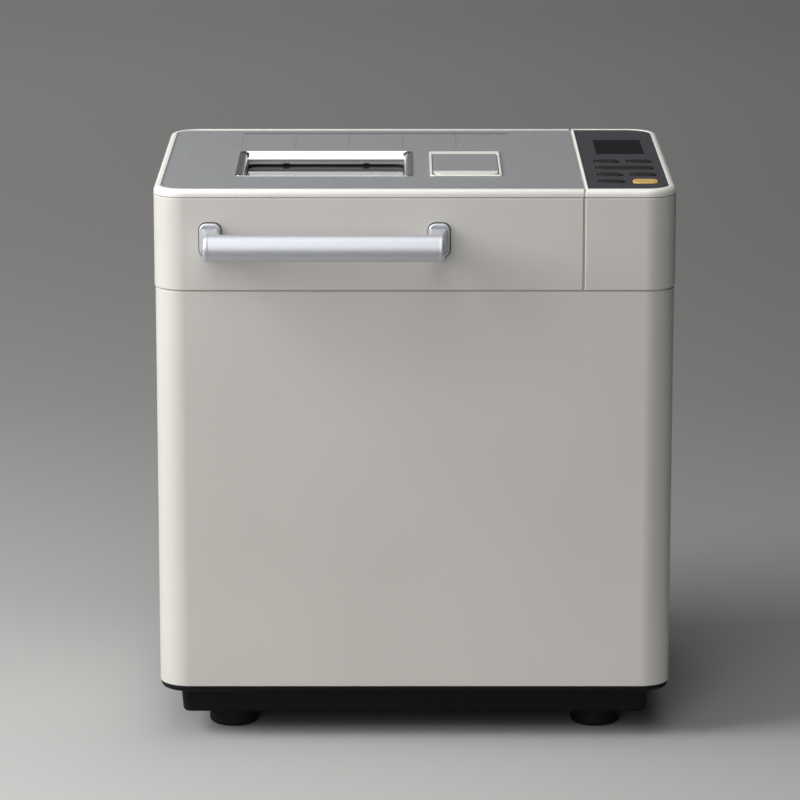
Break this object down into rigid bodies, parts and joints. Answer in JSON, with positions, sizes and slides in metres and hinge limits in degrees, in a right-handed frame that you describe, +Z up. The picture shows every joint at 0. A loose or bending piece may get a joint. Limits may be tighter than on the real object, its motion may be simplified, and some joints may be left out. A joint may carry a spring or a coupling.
{
  "type": "bread machine",
  "caption": "Upright bread machine with a windowed hinged lid, bar handle, fruit dispenser and key panel over a belt-driven kneading pan.",
  "frame": {"origin": "on the table, under the middle of the object's bounding box, handle and hinges included", "axes": "+Z up, +Y to the back, +X to the right as seen from the front; the handle and the control panel face -Y and up"},
  "size_m": [0.291, 0.258, 0.3175],
  "materials": {
    "casing_paint": "satin warm off-white paint",
    "rim_white": "smooth white",
    "top_metal": "fine speckled satin",
    "bar_aluminium": "satin",
    "chrome": "polished",
    "panel_grey": "satin dark grey",
    "display_dark": "gloss",
    "key_black": "satin",
    "key_amber": "satin amber",
    "window_glass": "tinted clear",
    "black_plastic": "fine grain",
    "foot_rubber": "matt",
    "sheet_steel": "aluminised",
    "bright_steel": "turned",
    "hinge_steel": "dark",
    "motor_steel": "satin",
    "pulley_plastic": "moulded",
    "nonstick": "non-stick coat",
    "bronze": "sintered bronze",
    "element_sheath": "heat-tinted",
    "board_green": "solder mask"
  },
  "bodies": {
    "base": {"base_tray": "black_plastic", "feet": "foot_rubber", "base_screws": "bright_steel", "outer_casing": "casing_paint", "deck_frame": "black_plastic", "control_box": "casing_paint", "control_rim": "rim_white", "control_panel": "panel_grey", "display_lens": "display_dark", "display_module": "sheet_steel", "control_board": "board_green", "power_board": "board_green", "baking_chamber": "sheet_steel", "chamber_mounts": "sheet_steel", "heating_element": "element_sheath", "element_brackets": "sheet_steel", "temperature_sensor": "bright_steel", "pan_clips": "sheet_steel", "chassis_plate": "sheet_steel", "motor_body": "motor_steel", "drive_bearing": "motor_steel", "drive_belt": "foot_rubber", "hinge_brackets": "hinge_steel", "hinge_pins": "bright_steel", "cord_gland": "black_plastic"},
    "drive": {"drive_shaft": "bright_steel", "drive_pulley": "pulley_plastic", "drive_coupling": "bright_steel"},
    "motor_rotor": {"motor_shaft": "bright_steel", "motor_pulley": "motor_steel"},
    "pan": {"bread_pan": "nonstick", "pan_base_ring": "nonstick", "pan_bearing": "bronze"},
    "paddle": {"pan_shaft": "bright_steel", "pan_coupling": "bright_steel", "kneading_paddle": "nonstick"},
    "pan_handle": {"pan_handle": "bright_steel"},
    "lid": {"lid_band": "casing_paint", "lid_rim": "rim_white", "lid_top_panel": "top_metal", "lid_liner": "sheet_steel", "window_bezel": "chrome", "window_glass": "window_glass", "window_gasket": "foot_rubber", "dispenser_frame": "rim_white", "dispenser_box": "rim_white", "dispenser_solenoid": "bronze", "handle_bar": "bar_aluminium", "handle_posts": "bar_aluminium", "handle_escutcheons": "bar_aluminium", "lid_hinge_arms": "hinge_steel"},
    "dispenser_cover": {"dispenser_cover": "top_metal"},
    "dispenser_flap": {"dispenser_flap": "pulley_plastic"},
    "time_rocker": {"time_rocker": "key_black"},
    "menu_key": {"menu_key": "key_black"},
    "crust_key": {"crust_key": "key_black"},
    "loaf_key": {"loaf_key": "key_black"},
    "light_key": {"light_key": "key_black"},
    "stop_key": {"stop_key": "key_black"},
    "start_key": {"start_key": "key_amber"}
  },
  "joints": [
    {"name": "lid_hinge", "type": "hinge", "parent": "base", "child": "lid", "pos_m": [-0.02625, 0.125, 0.26], "axis": [-1, 0, 0], "range_deg": [0, 95]},
    {"name": "dispenser_cover_hinge", "type": "hinge", "parent": "lid", "child": "dispenser_cover", "pos_m": [0.029, 0.0218, 0.3162], "axis": [-1, 0, 0], "range_deg": [0, 90]},
    {"name": "dispenser_flap_hinge", "type": "hinge", "parent": "lid", "child": "dispenser_flap", "pos_m": [0.0147, -0.00765, 0.2903], "axis": [0, 1, 0], "range_deg": [0, 80], "stiffness_Nm_per_rad": 0.004, "springref_deg": -34.38},
    {"name": "pan_lift", "type": "slide", "parent": "base", "child": "pan", "axis": [0, 0, 1], "range_m": [0, 0.01]},
    {"name": "pan_handle_swing", "type": "hinge", "parent": "pan", "child": "pan_handle", "pos_m": [-0.02625, 0.0125, 0.2048], "axis": [-1, 0, 0], "range_deg": [0, 90]},
    {"name": "drive_spin", "type": "hinge", "parent": "base", "child": "drive", "pos_m": [-0.02625, 0.0125, 0.041], "axis": [0, 0, 1], "continuous": true},
    {"name": "motor_spin", "type": "hinge", "parent": "base", "child": "motor_rotor", "pos_m": [0.112, 0.0125, 0.041], "axis": [0, 0, 1], "continuous": true},
    {"name": "paddle_spin", "type": "hinge", "parent": "pan", "child": "paddle", "pos_m": [-0.02625, 0.0125, 0.1018], "axis": [0, 0, 1], "continuous": true},
    {"name": "menu_key_press", "type": "slide", "parent": "base", "child": "menu_key", "axis": [0, 0, -1], "range_m": [0, 0.0008], "stiffness_N_per_m": 300, "springref_m": -0.0004},
    {"name": "crust_key_press", "type": "slide", "parent": "base", "child": "crust_key", "axis": [0, 0, -1], "range_m": [0, 0.0008], "stiffness_N_per_m": 300, "springref_m": -0.0004},
    {"name": "loaf_key_press", "type": "slide", "parent": "base", "child": "loaf_key", "axis": [0, 0, -1], "range_m": [0, 0.0008], "stiffness_N_per_m": 300, "springref_m": -0.0004},
    {"name": "light_key_press", "type": "slide", "parent": "base", "child": "light_key", "axis": [0, 0, -1], "range_m": [0, 0.0008], "stiffness_N_per_m": 300, "springref_m": -0.0004},
    {"name": "stop_key_press", "type": "slide", "parent": "base", "child": "stop_key", "axis": [0, 0, -1], "range_m": [0, 0.0008], "stiffness_N_per_m": 300, "springref_m": -0.0004},
    {"name": "start_key_press", "type": "slide", "parent": "base", "child": "start_key", "axis": [0, 0, -1], "range_m": [0, 0.0008], "stiffness_N_per_m": 300, "springref_m": -0.0004},
    {"name": "time_rocker_tilt", "type": "hinge", "parent": "base", "child": "time_rocker", "pos_m": [0.11975, -0.0198, 0.3134], "axis": [0, 1, 0], "range_deg": [-2.5, 2.5], "stiffness_Nm_per_rad": 0.05}
  ],
  "couplings": [
    {"joint": "drive_spin", "follows": "motor_spin", "ratio": 0.21429},
    {"joint": "paddle_spin", "follows": "motor_spin", "ratio": 0.21429}
  ]
}
